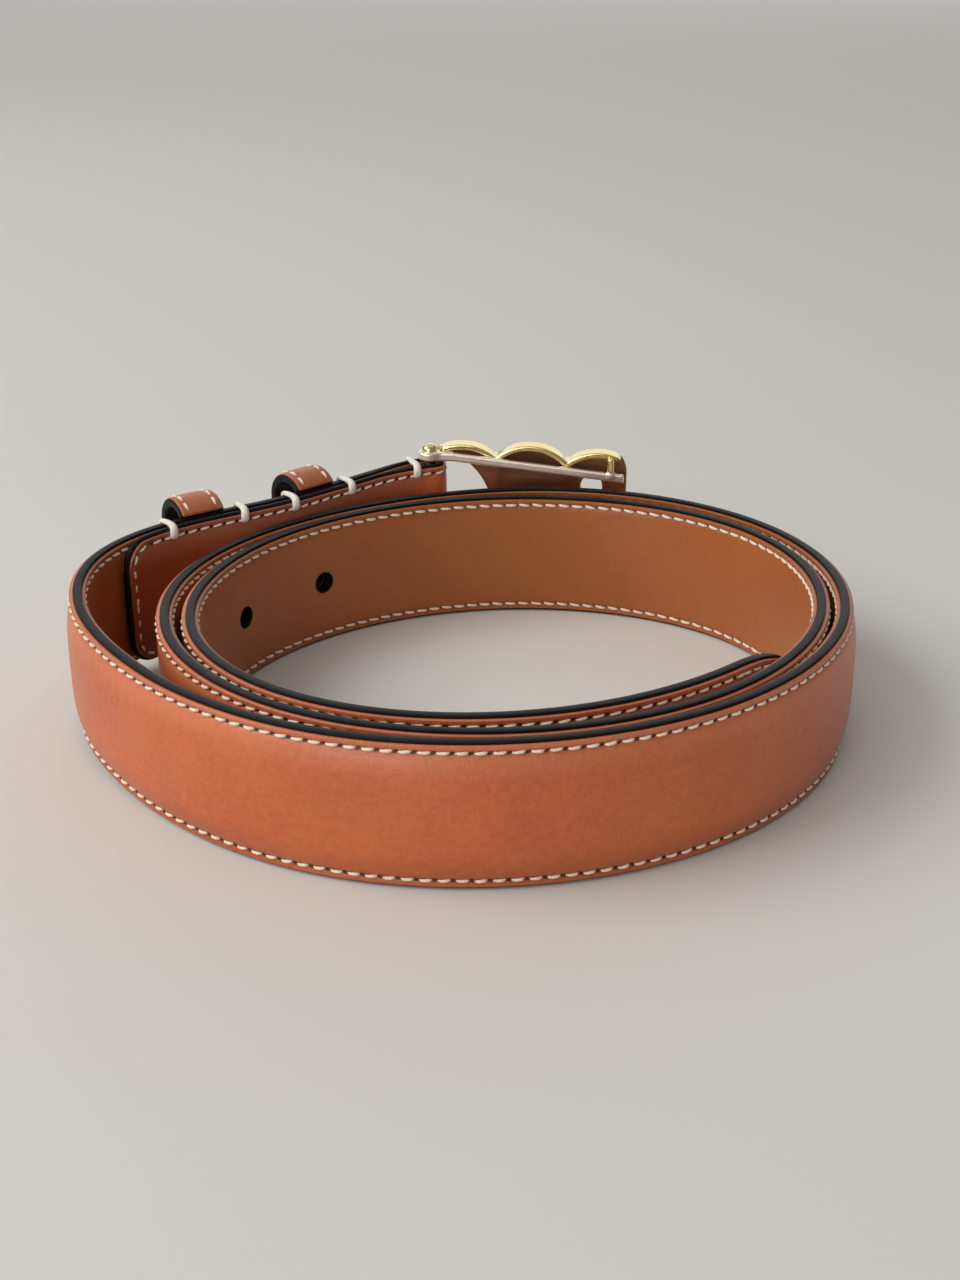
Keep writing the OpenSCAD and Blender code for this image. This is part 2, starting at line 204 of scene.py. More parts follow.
def loft_faces(rings, per):
    """Quads between rings of a closed section, with one face over each end."""
    i, j = np.meshgrid(np.arange(rings - 1), np.arange(per), indexing="ij")
    a, b = (i * per + j).ravel(), (i * per + (j + 1) % per).ravel()
    quads = np.column_stack([a, a + per, b + per, b]).tolist()
    return quads + [list(range(per)), list(range(rings * per - 1, (rings - 1) * per - 1, -1))]


def outward_faces(verts, faces):
    """The faces turned over if the solid they make is inside out."""
    v = np.asarray(verts)
    tri = np.array([[f[0], f[k], f[k + 1]] for f in faces for k in range(1, len(f) - 1)])
    vol = np.einsum("ij,ij->i", v[tri[:, 0]], np.cross(v[tri[:, 1]], v[tri[:, 2]])).sum()
    return faces if vol > 0 else [f[::-1] for f in faces]


# ---------------------------------------------------------------- materials
class Nodes:
    """Shorthand for building a material's node tree."""

    def __init__(self, name):
        self.mat = bpy.data.materials.new(name)
        self.mat.use_nodes = True
        self.tree = self.mat.node_tree
        self.shader = self.tree.nodes["Principled BSDF"]

    def add(self, kind, **inputs):
        node = self.tree.nodes.new("ShaderNode" + kind)
        for key, value in inputs.items():
            name = key.replace("_", " ")
            if name in node.inputs:
                self.put(node.inputs[name], value)
            else:
                setattr(node, key, value)
        return node

    def put(self, socket, value):
        if isinstance(value, bpy.types.NodeSocket):
            self.tree.links.new(value, socket)
        else:
            socket.default_value = value

    def math(self, op, a, b=0.0):
        node = self.tree.nodes.new("ShaderNodeMath")
        node.operation = op
        for socket, value in zip(node.inputs, (a, b)):
            self.put(socket, value)
        return node.outputs[0]

    def span(self, value, lo, hi):
        """0 at lo rising smoothly to 1 at hi, which may be the smaller."""
        node = self.tree.nodes.new("ShaderNodeMapRange")
        node.interpolation_type = "SMOOTHSTEP"
        for socket, x in zip(node.inputs, (value, lo, hi)):
            self.put(socket, x)
        return node.outputs[0]

    def mix(self, factor, a, b):
        node = self.tree.nodes.new("ShaderNodeMix")
        node.data_type = "RGBA"
        self.put(node.inputs[0], factor)
        self.put(node.inputs[6], a)
        self.put(node.inputs[7], b)
        return node.outputs[2]

    def noise(self, vector, scale, detail=3.0, rough=0.55):
        node = self.add("TexNoise", Vector=vector, Scale=scale, Detail=detail, Roughness=rough)
        return node.outputs[0]

    def stretch(self, vector, x, y, z=1.0):
        return self.add("Mapping", Vector=vector, Scale=(x, y, z)).outputs[0]

    def millimetres(self):
        """The cut piece's own coordinates, in millimetres along and across it."""
        uv = self.tree.nodes.new("ShaderNodeUVMap")
        uv.uv_map = "Cut"
        return self.stretch(uv.outputs[0], UV_MM, UV_MM)

    def object_mm(self):
        return self.stretch(self.add("TexCoord").outputs["Object"], 1 / MM, 1 / MM, 1 / MM)

    def finish(self, colour, rough, height, depth_mm, **fixed):
        bump = self.add("Bump", Height=height, Strength=1.0, Distance=depth_mm * MM)
        self.put(self.shader.inputs["Base Color"], colour)
        self.put(self.shader.inputs["Roughness"], rough)
        self.put(self.shader.inputs["Normal"], bump.outputs[0])
        for key, value in fixed.items():
            self.shader.inputs[key.replace("_", " ")].default_value = value
        return self.mat


def rgb(r, g, b):
    return (r, g, b, 1.0)


UV_MM = 100.0
STITCH_PITCH = 3.3
AWL_HALF_L, AWL_HALF_W, AWL_SLANT = 0.50, 0.34, 0.55
# The second colour is a painted highlight along the face's upper edge; the first is the colour of
# real scuffs.
RUBBED, PAINTED_TOP_SHEEN = rgb(0.78, 0.42, 0.26), rgb(0.80, 0.40, 0.26)
# Painted shade: the near-black colour of the inside of each awl hole.
AWL_HOLE_SHADE = rgb(0.02, 0.006, 0.004)


def leather(name, light, dark, burnish_and_shade, grain, rough, seam=0.93, depth=0.05, coat=0.14,
            dark_to=None, shift=0.0):
    """Aniline leather: cloudy colour, pores, faint creases, burnished edges and awl holes.
    Painted shade darkens the cut up to dark_to along it, where it is turned back, and along its
    lower edge;
    a painted highlight lightens it along its upper edge. seam is how dark the holes' painted shade
    is."""
    n = Nodes(name)
    p = n.millimetres()
    cloud = n.noise(n.add("Mapping", Vector=p, Location=(shift, 0, 0)).outputs[0], 0.035, 4, 0.6)
    fleck = n.noise(p, 0.6, 4, 0.65)
    fine = n.noise(p, 4.5 * grain, 3, 0.7)
    pores = n.add("TexVoronoi", Vector=p, Scale=1.9 * grain, Randomness=1.0).outputs["Distance"]
    creases = n.noise(n.stretch(p, 0.9, 0.16), 1.0, 3, 0.6)
    scuffs = n.span(n.noise(n.stretch(p, 0.05, 0.9), 1.0, 5, 0.7), 0.66, 0.8)
    tone = n.math("ADD", n.math("MULTIPLY", cloud, 0.52), n.math("MULTIPLY", fleck, 0.48))
    colour = n.mix(n.span(tone, 0.32, 0.64), dark, light)
    colour = n.mix(n.math("MULTIPLY", n.span(fine, 0.35, 0.72), 0.26), colour, burnish_and_shade)
    colour = n.mix(n.math("MULTIPLY", scuffs, 0.16), colour, RUBBED)
    # Painted light: shade painted over the turned-back end and along the lower edge, and a
    # highlight painted along the upper edge.
    if dark_to:
        cut = n.add("SeparateXYZ", Vector=p).outputs
        for axis, start, end, much, tint in (("X", dark_to, dark_to - 10.0, 0.62, burnish_and_shade),
                                             ("Y", -6.5, -12.5, 0.26, burnish_and_shade),
                                             ("Y", 7.0, 12.0, 0.14, PAINTED_TOP_SHEEN)):
            band = n.math("MULTIPLY", n.span(cut[axis], start, end), much)
            colour = n.mix(band, colour, tint)
    height = n.math("ADD", n.math("MULTIPLY", pores, 0.55), n.math("MULTIPLY", fine, 0.5))
    height = n.math("ADD", height, n.math("MULTIPLY", creases, 0.55))
    if seam:
        uv = n.tree.nodes.new("ShaderNodeUVMap")
        uv.uv_map = "Seam"
        part = n.add("SeparateXYZ", Vector=uv.outputs[0])
        phase = n.math("MULTIPLY", part.outputs["X"], UV_MM)
        off = n.math("MULTIPLY", part.outputs["Y"], UV_MM)
        x = n.math("MULTIPLY", n.math("SUBTRACT", n.math("FRACT", phase), 0.5), STITCH_PITCH)
        x = n.math("SUBTRACT", x, n.math("MULTIPLY", off, AWL_SLANT))
        reach = [n.math("POWER", n.math("ABSOLUTE", n.math("DIVIDE", at, half)), 2.0)
                 for at, half in ((x, AWL_HALF_L), (off, AWL_HALF_W))]
        hole = n.span(n.math("ADD", *reach), 1.4, 0.5)
        pull = n.span(n.math("ABSOLUTE", off), 1.1, 0.1)
        colour = n.mix(n.math("MULTIPLY", pull, 0.3), colour, burnish_and_shade)
        # The awl holes are painted near-black: painted shade for the inside of each hole.
        colour = n.mix(n.math("MULTIPLY", hole, seam), colour, AWL_HOLE_SHADE)
        rim = n.span(off, 1.15, 1.75)
        colour = n.mix(n.math("MULTIPLY", rim, 0.55), colour, burnish_and_shade)
        height = n.math("SUBTRACT", height, n.math("MULTIPLY", hole, 3.0 * seam))
    gloss = n.math("ADD", n.math("MULTIPLY", cloud, 0.16), n.math("MULTIPLY", fine, 0.14))
    return n.finish(colour, n.math("ADD", gloss, rough - 0.15), height, depth,
                    Specular_IOR_Level=0.5, Coat_Weight=coat, Coat_Roughness=0.26,
                    Sheen_Weight=0.02, Sheen_Roughness=0.5)


def edge_paint():
    n = Nodes("edge_paint_black")
    p = n.object_mm()
    wave = n.noise(p, 0.35, 3)
    grit = n.noise(p, 5.0, 3)
    rub = n.span(n.noise(p, 0.16, 5, 0.7), 0.58, 0.78)
    colour = n.mix(n.math("MULTIPLY", rub, 0.6), rgb(0.007, 0.008, 0.009),
                   rgb(0.026, 0.021, 0.019))
    height = n.math("ADD", n.math("MULTIPLY", wave, 2.0), n.math("MULTIPLY", grit, 0.35))
    rough = n.math("ADD", n.math("MULTIPLY", grit, 0.2), 0.36)
    return n.finish(colour, rough, height, 0.07, Specular_IOR_Level=0.16,
                    Coat_Weight=0.03, Coat_Roughness=0.3)


def thread(name, light, shade):
    n = Nodes(name)
    p = n.object_mm()
    ply = n.noise(p, 3.0, 2)
    fibre = n.noise(p, 14.0, 2)
    colour = n.mix(n.span(ply, 0.3, 0.7), shade, light)
    height = n.math("ADD", n.math("MULTIPLY", ply, 0.5), n.math("MULTIPLY", fibre, 0.5))
    return n.finish(colour, n.math("ADD", n.math("MULTIPLY", fibre, 0.2), 0.42), height, 0.05,
                    Sheen_Weight=0.25, Sheen_Roughness=0.4)


def gold(name, light, warm, rough):
    n = Nodes(name)
    p = n.object_mm()
    haze = n.noise(p, 0.12, 4, 0.6)
    hairline = n.noise(n.stretch(p, 0.5, 6.0, 6.0), 1.0, 3, 0.6)
    colour = n.mix(n.span(haze, 0.3, 0.7), light, warm)
    height = n.math("ADD", n.math("MULTIPLY", haze, 1.5), n.math("MULTIPLY", hairline, 0.05))
    worn = n.math("ADD", n.math("MULTIPLY", n.span(haze, 0.4, 0.75), 0.10),
                  n.math("MULTIPLY", hairline, 0.06))
    return n.finish(colour, n.math("ADD", worn, rough - 0.06), height, 0.03, Metallic=1.0)


FACE = leather("leather_face", rgb(0.65, 0.146, 0.031), rgb(0.51, 0.100, 0.020),
               rgb(0.20, 0.045, 0.016), 1.0, 0.46, depth=0.10, coat=0.30,
               dark_to=sheet.fold_s - 3, shift=70.0)
LINING = leather("leather_lining", rgb(0.44, 0.127, 0.025), rgb(0.385, 0.107, 0.020),
                 rgb(0.14, 0.040, 0.012), 1.5, 0.46, seam=0.45, depth=0.03, coat=0.14)
KEEPER = leather("leather_keeper", rgb(0.48, 0.140, 0.048), rgb(0.38, 0.100, 0.034),
                 rgb(0.18, 0.042, 0.016), 1.1, 0.42, seam=0)
PAINT = edge_paint()
SEAM_THREAD = thread("thread_cream", rgb(0.95, 0.85, 0.71), rgb(0.80, 0.64, 0.48))
TACK_THREAD = thread("thread_tack", rgb(0.93, 0.88, 0.80), rgb(0.78, 0.69, 0.58))
GOLD = gold("gold_polished", rgb(0.96, 0.82, 0.42), rgb(0.92, 0.74, 0.32), 0.19)
ROSE = gold("gold_rose", rgb(0.98, 0.90, 0.82), rgb(0.95, 0.82, 0.71), 0.40)
# Painted shade: a dark gold for the hollow's floor, standing in for its shadow and its reflection
# of shaded leather.
HOLLOW_SHADE_GOLD = gold("gold_hollow_painted_shade", rgb(0.46, 0.29, 0.17), rgb(0.34, 0.20, 0.11), 0.36)


# ---------------------------------------------------------------- strap: three laminated pieces
CORNER_R = 0.95
CORNER_SPLIT = math.radians(14)
RIM_INSET = CORNER_R * (1 - math.sin(CORNER_SPLIT))
STATION = 0.9
PLY_GAP = 0.02
CROWN_FROM_A, CROWN_TO_A, CROWN_HELD, CROWN_FREE = 165, 430, 0.10, 1.15
LINING_CROWN = 0.03
CHANNEL_DEEP, CHANNEL_W, DIMPLE_DEEP, DIMPLE_W = 0.22, 0.62, 0.16, 0.4
EDGE_DOME = 0.12


def crown_at(s):
    """Height of the face's crown: full on the outer turn, slight where turns lie close."""
    free = smooth((sheet.s_of(CROWN_TO_A) - s) / 60) * smooth((s - sheet.s_of(CROWN_FROM_A)) / 40)
    return CROWN_HELD + CROWN_FREE * free


def end_drop(s):
    """How far the surface rounds down near the turned-back end and the tip."""
    d = np.minimum(s, sheet.length - s)
    e = np.clip(CORNER_R - d, 0, CORNER_R)
    return CORNER_R - np.sqrt(CORNER_R**2 - e**2)


def seam_phase(s):
    return (s - sheet.fold_s) / STITCH_PITCH


def across(hw_rim):
    """Places across a skin, close together at the seams and the edge rolls; one row per s."""
    d = np.array([0.0, 0.08, 0.16, 0.24, 0.4, 0.6, 0.78, 0.92, 1.05, 1.15, 1.27, 1.4, 1.55, 1.72,
                  1.95, 2.3, 2.9])
    middle = np.linspace(0, 1, 8)[1:]
    side = np.stack([np.clip(hw_rim - x, 0, None) for x in d], 1)
    inner = np.clip(hw_rim - d[-1], 0, None)[:, None] * (1 - middle)[None]
    half = np.concatenate([side, inner], 1)
    return np.concatenate([half, -half[:, -2::-1]], 1)


def surface_rise(s, v, hw_rim, crown):
    """Relief of a skin: crown, seam channels and the roll into the edge."""
    edge = hw_rim[:, None] - np.abs(v)
    roll_w = CORNER_R * math.sin(CORNER_SPLIT)
    x = np.clip((roll_w - edge) / CORNER_R, 0, 1)
    roll = CORNER_R * (1 - np.sqrt(1 - x**2))
    seam_at = SEAM_INSET - RIM_INSET
    channel = CHANNEL_DEEP * np.exp(-(((edge - seam_at) / CHANNEL_W) ** 2))
    w = np.clip((edge - seam_at - 0.3) / np.maximum(hw_rim[:, None] - seam_at, 1), 0, 1)
    bulge = crown[:, None] * (1 - (1 - w) ** 4.2)
    dimple = np.exp(-(((edge - seam_at) / DIMPLE_W) ** 2))
    ph = seam_phase(s)
    dimple = dimple * np.exp(-((((ph - np.floor(ph)) - 0.5) * STITCH_PITCH / 0.5) ** 2))[:, None]
    return bulge - roll - channel - DIMPLE_DEEP * dimple


def skin(name, s, top, stands_for, mat):
    """A closed leather ply: top is True for the face and False for the lining."""
    hw = sheet.half_width(s, RIM_INSET)
    s, hw = s[hw > 0.6], hw[hw > 0.6]
    v = across(hw)
    _, _, _, fill = sheet.at(s)
    total = PLY_T + fill
    rise = surface_rise(s, v, hw, crown_at(s) if top else np.full(len(s), LINING_CROWN))
    drop = end_drop(s)[:, None]
    outer = total[:, None] + rise - drop if top else -rise + drop
    wall = (total - FACE_T if top else np.full(len(s), LINING_T))
    wall = wall + (PLY_GAP if top else -PLY_GAP)
    back_v = np.linspace(-1, 1, 5)[None] * v[:, :1]
    vv = np.concatenate([v, back_v], 1)
    off = np.concatenate([outer, np.repeat(wall[:, None], 5, 1)], 1)
    ss = np.repeat(s[:, None], vv.shape[1], 1)
    verts = sheet.points(ss, vv, off).reshape(-1, 3)
    uv = np.stack([ss, vv], -1).reshape(-1, 2) / UV_MM
    edge = SEAM_INSET - RIM_INSET - (hw[:, None] - np.abs(vv))
    seam = np.stack([seam_phase(ss), edge], -1).reshape(-1, 2) / UV_MM
    faces = outward_faces(verts, loft_faces(len(s), vv.shape[1]))
    return new_mesh(name, verts, faces, "strap", (mat, PAINT), stands_for, uv, seam)


def painted_core(name, s, stands_for):
    """The filler with its painted edges, which roll over the edges of both plies."""
    hw, rim = sheet.half_width(s), sheet.half_width(s, RIM_INSET)
    s, rim, hw = s[hw > 0.5], rim[hw > 0.5], hw[hw > 0.5]
    rim = np.maximum(rim, 0.02)
    _, _, _, fill = sheet.at(s)
    total, drop = PLY_T + fill, end_drop(s)
    angles = np.linspace(CORNER_SPLIT, math.pi / 2, 6)

    def corner(angle, face_side):
        reach = (math.sin(angle) - math.sin(CORNER_SPLIT)) / (1 - math.sin(CORNER_SPLIT))
        v = rim + (hw - EDGE_DOME - rim) * reach
        deep = CORNER_R * (1 - math.cos(angle)) + drop
        if face_side:
            return v, np.minimum(total - deep, total * 0.75)
        return v, np.maximum(deep, total * 0.25)

    rows = [corner(angle, True) for angle in angles]
    rows += [(hw - EDGE_DOME * (2 * q - 1) ** 2, total * (0.70 - 0.40 * q))
             for q in (0.15, 0.5, 0.85)]
    rows += [corner(angle, False) for angle in angles[::-1]]
    rows += [(rim, np.full(len(s), LINING_T))]
    v = np.stack([r[0] for r in rows], 1)
    off = np.stack([r[1] for r in rows], 1)
    mirror_v, mirror_off = -v[:, ::-1], off[:, ::-1]
    back = np.maximum(total - FACE_T, LINING_T + 0.1)
    vv = np.concatenate([v, mirror_v, np.stack([-rim, rim], 1)], 1)
    oo = np.concatenate([off, mirror_off, np.repeat(back[:, None], 2, 1)], 1)
    ss = np.repeat(s[:, None], vv.shape[1], 1)
    verts = sheet.points(ss, vv, oo).reshape(-1, 3)
    faces = outward_faces(verts, loft_faces(len(s), vv.shape[1]))
    return new_mesh(name, verts, faces, "strap", (PAINT,), stands_for)


def strap_stations():
    """Places along the strip: close together at its ends, in the fold and at the awl holes."""
    near_ends = np.array([0.02, 0.06, 0.12, 0.2, 0.3, 0.42, 0.55, 0.7, 0.85])
    s = np.concatenate([near_ends, RIM_INSET + 0.01 + near_ends,
                        np.arange(1, sheet.length - 1, STATION),
                        np.arange(sheet.fold_s - 9, sheet.fold_s + 9, 0.3),
                        sheet.length - TIP_LEN * (1 - np.sin(np.linspace(0, 1.57, 60))),
                        TURN_CORNER_R * (1 - np.sin(np.linspace(0, 1.5, 16)))])
    s = s[(s > 0.01) & (s < sheet.length - 0.01)]
    awl = (np.arange(-60, 400) + 0.5) * STITCH_PITCH + sheet.fold_s
    awl = np.concatenate([awl + d for d in (-0.45, 0, 0.45)])
    awl = awl[(awl > TURN_CORNER_R + 1) & (awl < sheet.length - TIP_LEN)]
    s = np.unique(np.round(np.concatenate([s, awl]), 3))
    return s[np.concatenate([[True], np.diff(s) > 0.04])]


stations = strap_stations()
face = skin("strap_face_leather", stations, True, ("strap_face",), FACE)
lining = skin("strap_lining_leather", stations, False, ("strap_lining",), LINING)
core = painted_core("strap_core_and_edges", stations, ("strap_filler",))


def hole_angles():
    a = [FIRST_HOLE_A]
    for _ in range(HOLE_COUNT - 1):
        a.append(a[-1] + HOLE_PITCH / float(mm_per_deg(a[-1])))
    return a


def punch(targets):
    """Cut the holes through the plies with slightly flared cutters."""
    ring, verts, faces = 48, [], []
    flare = [(0.55, -3), (0.35, -0.35), (0.12, 0.1), (0, 0.5)]
    profile = [(HOLE_R + wide, off) for wide, off in flare]
    profile += [(HOLE_R + wide, STRAP_T - off) for wide, off in flare[::-1]]
    for a in hole_angles():
        n, t, p = outward(a), along(a), ply_pt(a)
        first = len(verts)
        for r, off in profile:
            for k in range(ring):
                c, d = r * math.cos(2 * math.pi * k / ring), r * math.sin(2 * math.pi * k / ring)
                xy = p + off * n + c * t
                verts.append([xy[0], xy[1], HALF_W + float(lift(a)) + d])
        faces += [[first + q for q in f] for f in loft_faces(len(profile), ring)]
    me = bpy.data.meshes.new("punch")
    me.from_pydata((np.array(verts) * MM).tolist(), [], outward_faces(verts, faces))
    me.materials.append(PAINT)
    cutter = bpy.data.objects.new("punch", me)
    bpy.context.scene.collection.objects.link(cutter)
    bpy.context.view_layer.update()
    for o in targets:
        mod = o.modifiers.new("punch", "BOOLEAN")
        mod.operation, mod.object, mod.solver = "DIFFERENCE", cutter, "EXACT"
        mod.material_mode = "TRANSFER"
        with bpy.context.temp_override(object=o, active_object=o):
            bpy.ops.object.modifier_apply(modifier=mod.name)
    bpy.data.objects.remove(cutter)


punch([face, lining, core])


# ---------------------------------------------------------------- stitches
STITCH_DIVE = 0.42
FACE_BED, LINING_BED, STITCH_SLANT = 0.20, 0.16, 0.10


def stitch_shape(length, width, height, rise, around=8, rings=8):
    """One lockstitch: a plump twisted thread that dives into the leather at both ends."""
    verts = []
    for i in range(rings):
        x = -1 + 2 * (i + 0.5) / rings
        fat = (1 - abs(x) ** 3.2) ** 0.5
        z = rise - (rise + STITCH_DIVE) * abs(x) ** 3.4
        for k in range(around):
            th = 2 * math.pi * k / around
            ply = 1 + 0.09 * math.cos(2 * th + 3.2 * x)
            verts.append([x * length / 2, width / 2 * fat * ply * math.cos(th),
                          z + height / 2 * fat * ply * math.sin(th)])
    verts += [[-length / 2, 0, -STITCH_DIVE], [length / 2, 0, -STITCH_DIVE]]
    faces = []
    for i in range(rings - 1):
        for k in range(around):
            a, b = i * around + k, i * around + (k + 1) % around
            faces.append([a, b, b + around, a + around])
    for k in range(around):
        faces.append([rings * around, (k + 1) % around, k])
        last = (rings - 1) * around
        faces.append([rings * around + 1, last + k, last + (k + 1) % around])
    return np.array(verts), faces


def place(shape, spots):
    """Copies of a shape at (point, direction, normal) places, with slight hand-set variety."""
    base, faces = shape
    verts, all_faces = [], []
    for p, t, n, slant in spots:
        t = t / np.linalg.norm(t)
        n = n - t * np.dot(n, t)
        n /= np.linalg.norm(n)
        b = np.cross(n, t)
        ang = slant + rng.normal(0, 0.035)
        t, b = t * math.cos(ang) + b * math.sin(ang), b * math.cos(ang) - t * math.sin(ang)
        size = 1 + rng.normal(0, 0.03)
        shift = rng.normal(0, 0.03, 3)
        q = base * [1, size, size]
        first = len(verts) * len(base)
        verts.append(p + shift * 0.6 + q[:, :1] * t + q[:, 1:2] * b + q[:, 2:3] * n)
        all_faces += [[first + k for k in f] for f in faces]
    return np.concatenate(verts), all_faces


def walk(points, normals, pitch, start=0.5):
    """Equal steps along a polyline: point, direction and normal at each."""
    d = np.concatenate([[0], np.cumsum(np.linalg.norm(np.diff(points, axis=0), axis=1))])
    n = int(d[-1] / pitch - start)
    at = (np.arange(n + 1) + start) * pitch

    def get(x):
        return np.stack([np.interp(x, d, c) for c in points.T], -1)
    p, ahead, behind = get(at), get(at + 0.3), get(at - 0.3)
    m = np.stack([np.interp(at, d, c) for c in normals.T], -1)
    return p, ahead - behind, m


def thread_bed(s, top):
    """How far out the thread lies at each s, and the surface's normal there."""
    _, n, _, fill = sheet.at(s)
    off = PLY_T + fill - FACE_BED if top else np.full(len(s), LINING_BED)
    return off, np.concatenate([n if top else -n, np.zeros((len(s), 1))], 1)


def seam_row(side, top, s_from, s_to):
    """Stitches of one long row, in step with the awl holes."""
    k0, k1 = math.ceil(seam_phase(s_from)), math.floor(seam_phase(s_to))
    s = sheet.fold_s + np.arange(k0, k1 + 1) * STITCH_PITCH
    v = side * sheet.half_width(s, SEAM_INSET)
    off, normal = thread_bed(s, top)
    p = sheet.points(s, v, off)
    ahead = sheet.points(s + 0.3, v, off)
    slant = STITCH_SLANT if top else -STITCH_SLANT
    return [(p[i], ahead[i] - p[i], normal[i], slant) for i in range(len(s))]


def rounded_row(s_v, top):
    """Stitches along a free path over the sheet, such as round the tip."""
    s, v = np.array(s_v).T
    off, normal = thread_bed(s, top)
    p, t, m = walk(sheet.points(s, v, off), normal, STITCH_PITCH)
    return [(p[i], t[i], m[i], 0.0) for i in range(len(p))]


def tip_path(side):
    a, b = TIP_LEN - SEAM_INSET, HALF_W - SEAM_INSET
    q = np.linspace(0, math.pi / 2, 60)
    return [(sheet.length - TIP_LEN + a * math.sin(x), side * b * math.cos(x)) for x in q]


def turn_path(side):
    r, c = TURN_CORNER_R - SEAM_INSET, HALF_W - TURN_CORNER_R
    arc = [(TURN_CORNER_R - r * math.sin(x), side * (c + r * math.cos(x)))
           for x in np.linspace(0, math.pi / 2, 30)]
    return arc + [(SEAM_INSET, side * c * (1 - q)) for q in np.linspace(0.05, 1, 20)]


stitch = stitch_shape(STITCH_PITCH * 0.82, 0.64, 0.56, 0.20)
lining_stitch = stitch_shape(STITCH_PITCH * 0.91, 0.68, 0.60, 0.18)
body_end = sheet.length - TIP_LEN
for side, label in ((1, "upper"), (-1, "lower")):
    front = seam_row(side, True, TURN_CORNER_R + 1, body_end)
    front += rounded_row(tip_path(side), True) + rounded_row(turn_path(side), True)
    back = seam_row(side, False, sheet.s_of(TURN_END_A) - 12, body_end)
    back += rounded_row(tip_path(side), False)
    v1, f1 = place(stitch, front)
    v2, f2 = place(lining_stitch, back)
    f2 = [[k + len(v1) for k in f] for f in f2]
    new_mesh(f"stitches_{label}", np.concatenate([v1, v2]), f1 + f2, "strap",
             (SEAM_THREAD,), (f"{label}_seam_thread",))


# ---------------------------------------------------------------- keepers
KEEPER_CORNER_R, KEEPER_SPLIT, KEEPER_LINING_R = 0.85, math.radians(42), 0.6
KEEPER_SEAM_INSET, KEEPER_CROWN, KEEPER_CHANNEL = 1.9, 0.22, 0.14
KEEPER_PITCH, KEEPER_FOOT_OUT = 3.1, 1.7
PRESS_H = 0.3


def strap_frame(a):
    """The strap's own frame at a: origin, towards the buckle, outward, up."""
    slope = (float(lift(a - 1)) - float(lift(a + 1))) / (2 * float(mm_per_deg(a)))
    t = -along(a)
    x = np.array([t[0], t[1], slope])
    x /= np.linalg.norm(x)
    y = np.array([*outward(a), 0.0])
    z = np.cross(x, y)
    return np.array([*ply_pt(a), HALF_W + float(lift(a))]), x, y, z


def keeper_path():
    """Middle of the band, from the upper foot out and down to the lower foot: across, up and
    the normal, which points out of the loop."""
    c, m = KEEPER_HALF_H - KEEPER_R, KEEPER_R - (KEEPER_FACE_T + KEEPER_LINING_T) / 2
    foot = math.acos(-(KEEPER_AXIS - KEEPER_FOOT_OUT) / m)
    arc = np.linspace(foot, 0, 34)
    side = np.linspace(c, -c, 26)[1:-1]
    up = [(KEEPER_AXIS + m * math.cos(q), c + m * math.sin(q), math.cos(q), math.sin(q))
          for q in arc]
    straight = [(KEEPER_AXIS + m, z, 1.0, 0.0) for z in side]
    down = [(y, -z, ny, -nz) for y, z, ny, nz in up[::-1]]
    return np.array(up + straight + down)


def pressed_on_floor(verts):
    """The lowest leather and thread, squeezed into the last PRESS_H of a millimetre above 0."""
    verts = np.array(verts)
    low = verts[:, 2] < PRESS_H
    verts[low, 2] = PRESS_H * np.exp(verts[low, 2] / PRESS_H - 1)
    return verts


def keeper_sections():
    """Sections of a keeper's leather and of its core: places across the band and heights."""
    half, t_out = KEEPER_W / 2, (KEEPER_FACE_T + KEEPER_LINING_T) / 2
    r, sharp = KEEPER_CORNER_R, math.sin(KEEPER_SPLIT)
    rim = half - r * (1 - sharp)
    w = np.concatenate([[rim], np.linspace(rim - 0.15, rim - 0.6, 4), np.linspace(rim - 1, 0, 9)])
    roll = np.clip((r * sharp - (rim - w)) / r, 0, 1)
    relief = KEEPER_CROWN * (1 - (w / rim) ** 2) - r * (1 - np.sqrt(1 - roll**2))
    relief -= KEEPER_CHANNEL * np.exp(-((w - (half - KEEPER_SEAM_INSET)) / 0.6) ** 2)
    seam = t_out - KEEPER_FACE_T
    leather_w = np.concatenate([w, -w[-2::-1], [-rim, rim]])
    leather_h = np.concatenate([t_out + relief, t_out + relief[-2::-1], [seam + PLY_GAP] * 2])
    arc, inner = np.linspace(KEEPER_SPLIT, math.pi / 2, 6), np.linspace(0, math.pi / 2, 6)
    out_w = rim + (half - rim) * (np.sin(arc) - sharp) / (1 - sharp)
    out_h = t_out - r * (1 - np.cos(arc))
    in_w = half - KEEPER_LINING_R * (1 - np.cos(inner))
    in_h = -t_out + KEEPER_LINING_R * (1 - np.sin(inner))
    core_w = np.concatenate([out_w, in_w, -in_w[::-1], -out_w[::-1], [-rim, rim]])
    core_h = np.concatenate([out_h, in_h, in_h[::-1], out_h[::-1], [seam] * 2])
    return (leather_w, leather_h), (core_w, core_h)


